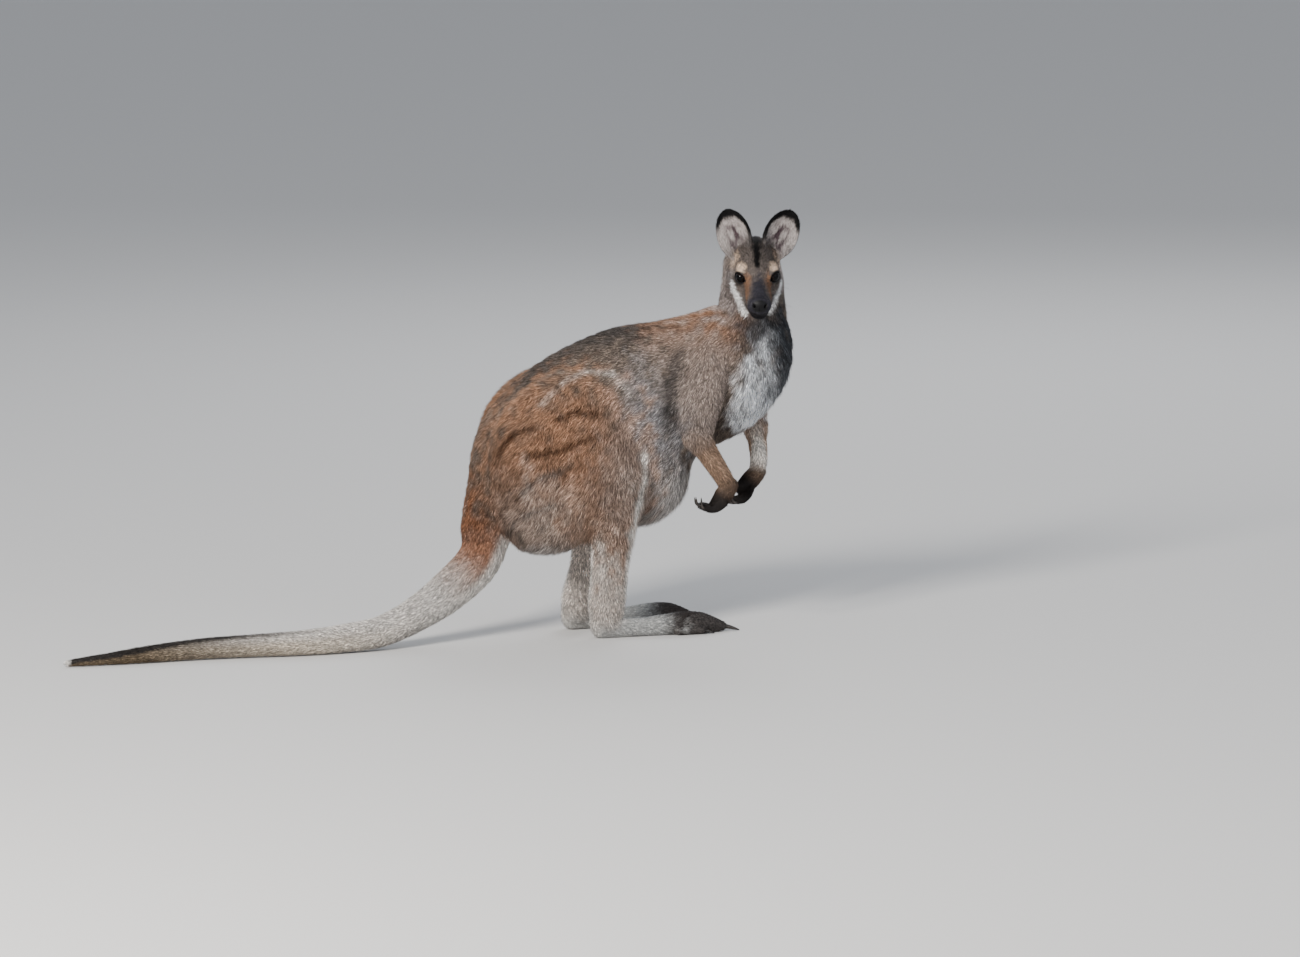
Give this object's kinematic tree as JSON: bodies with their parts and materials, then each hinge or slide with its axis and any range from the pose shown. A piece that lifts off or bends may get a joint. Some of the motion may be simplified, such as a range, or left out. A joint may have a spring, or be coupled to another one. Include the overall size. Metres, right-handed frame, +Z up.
{
  "type": "wallaby",
  "caption": "Life-size wallaby standing alert on its hind feet and long tail, head turned to its right, forepaws held in front of the chest.",
  "frame": {"origin": "middle of the whole animal's length and breadth, on the floor that its feet and tail rest on", "axes": "+X ahead of the body, along the animal's length from tail to chest; +Y to its left; +Z up"},
  "size_m": [1.0926, 0.3414, 0.6384],
  "materials": {
    "grey_coat": "short grizzled fur",
    "rufous_coat": "rufous fur",
    "pale_coat": "short pale fur",
    "dark_coat": "very short black-brown fur",
    "claw": "smooth dark horn",
    "eye": "wet and glossy",
    "nose_skin": "bare fine-grained skin"
  },
  "bodies": {
    "root": {"eye_left": "eye", "eye_right": "eye", "jaw": "pale_coat", "nose": "nose_skin", "head": "grey_coat", "ear_right": "pale_coat", "ear_left": "pale_coat", "neck": "grey_coat", "chest": "grey_coat", "loin": "grey_coat", "rump": "grey_coat", "tail_root": "grey_coat", "tail_middle": "grey_coat", "tail_lower": "grey_coat", "tail_end": "grey_coat", "thigh_right": "rufous_coat", "shank_right": "grey_coat", "claw_foot_right_4": "claw", "claw_foot_right_5": "claw", "claw_foot_right_3": "claw", "claw_foot_right_2": "claw", "foot_right": "pale_coat", "thigh_left": "rufous_coat", "shank_left": "grey_coat", "claw_foot_left_4": "claw", "claw_foot_left_5": "claw", "claw_foot_left_3": "claw", "claw_foot_left_2": "claw", "foot_left": "pale_coat", "upper_arm_right": "grey_coat", "forearm_right": "grey_coat", "claw_hand_right_1": "claw", "claw_hand_right_2": "claw", "claw_hand_right_3": "claw", "claw_hand_right_4": "claw", "claw_hand_right_5": "claw", "hand_right": "dark_coat", "upper_arm_left": "grey_coat", "forearm_left": "grey_coat", "claw_hand_left_1": "claw", "claw_hand_left_2": "claw", "claw_hand_left_3": "claw", "claw_hand_left_4": "claw", "claw_hand_left_5": "claw", "hand_left": "dark_coat"}
  },
  "joints": []
}
